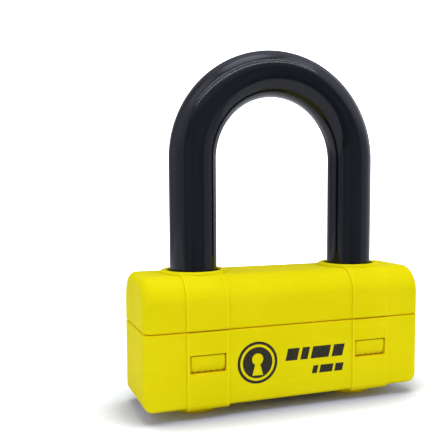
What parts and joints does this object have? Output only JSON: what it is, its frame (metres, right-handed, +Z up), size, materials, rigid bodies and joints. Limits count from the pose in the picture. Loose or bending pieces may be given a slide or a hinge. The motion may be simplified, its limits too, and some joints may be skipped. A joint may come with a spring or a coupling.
{
  "type": "u lock",
  "caption": "Compact U lock: a sleeved steel shackle standing in a two-part plastic covered crossbar with a disc cylinder, turning cam and sliding bolts.",
  "frame": {"origin": "middle of the two feet's bottom faces, under the middle of the crossbar", "axes": "+X from the left leg to the right leg as seen from the front, -Y out of the front face, +Z up the shackle's legs"},
  "size_m": [0.1268, 0.0426, 0.1541],
  "materials": {
    "yellow_plastic": "satin moulded plastic",
    "black_vinyl": "smooth vinyl sleeve",
    "black_plastic": "fine grained",
    "hardened_steel": "ground and heat treated",
    "bright_steel": "plated",
    "zinc_casting": "die cast",
    "brass": "machined"
  },
  "bodies": {
    "crossbar": {"casing": "hardened_steel", "upper_cover": "yellow_plastic", "lower_cover": "yellow_plastic", "keyhole_frame": "black_plastic", "left_end_plate": "hardened_steel", "right_end_plate": "hardened_steel", "bolt_carrier": "zinc_casting", "carrier_lid": "hardened_steel", "lid_screw_1": "bright_steel", "lid_screw_2": "bright_steel", "lid_screw_3": "bright_steel", "lid_screw_4": "bright_steel", "cylinder_housing": "bright_steel", "cylinder_pin": "bright_steel"},
    "shackle": {"shackle": "hardened_steel", "shackle_sleeve": "black_vinyl"},
    "core": {"cylinder_core": "brass", "detainer_disc_1": "brass", "detainer_disc_2": "brass", "detainer_disc_3": "brass", "detainer_disc_4": "brass", "detainer_disc_5": "brass", "detainer_disc_6": "brass", "detainer_disc_7": "brass", "detainer_disc_8": "brass", "detainer_disc_9": "brass", "sidebar": "bright_steel", "core_circlip": "bright_steel", "cam": "hardened_steel"},
    "right_bolt": {"right_bolt": "hardened_steel"},
    "left_bolt": {"left_bolt": "hardened_steel"},
    "shutter": {"keyhole_shutter": "black_plastic"}
  },
  "joints": [
    {"name": "shackle_slide", "type": "slide", "parent": "crossbar", "child": "shackle", "axis": [0, 0, 1], "range_m": [0, 0.065]},
    {"name": "core_turn", "type": "hinge", "parent": "crossbar", "child": "core", "pos_m": [0, 0, 0.025], "axis": [0, 0, 1], "range_deg": [0, 90]},
    {"name": "right_bolt_slide", "type": "slide", "parent": "crossbar", "child": "right_bolt", "axis": [1, 0, 0], "range_m": [0, 0.00462]},
    {"name": "left_bolt_slide", "type": "slide", "parent": "crossbar", "child": "left_bolt", "axis": [-1, 0, 0], "range_m": [0, 0.00462]},
    {"name": "shutter_slide", "type": "slide", "parent": "crossbar", "child": "shutter", "axis": [1, 0, 0], "range_m": [0, 0.0124]}
  ],
  "couplings": [
    {"joint": "right_bolt_slide", "follows": "core_turn", "m_per_rad": 0.0029285},
    {"joint": "left_bolt_slide", "follows": "core_turn", "m_per_rad": 0.0029285}
  ]
}
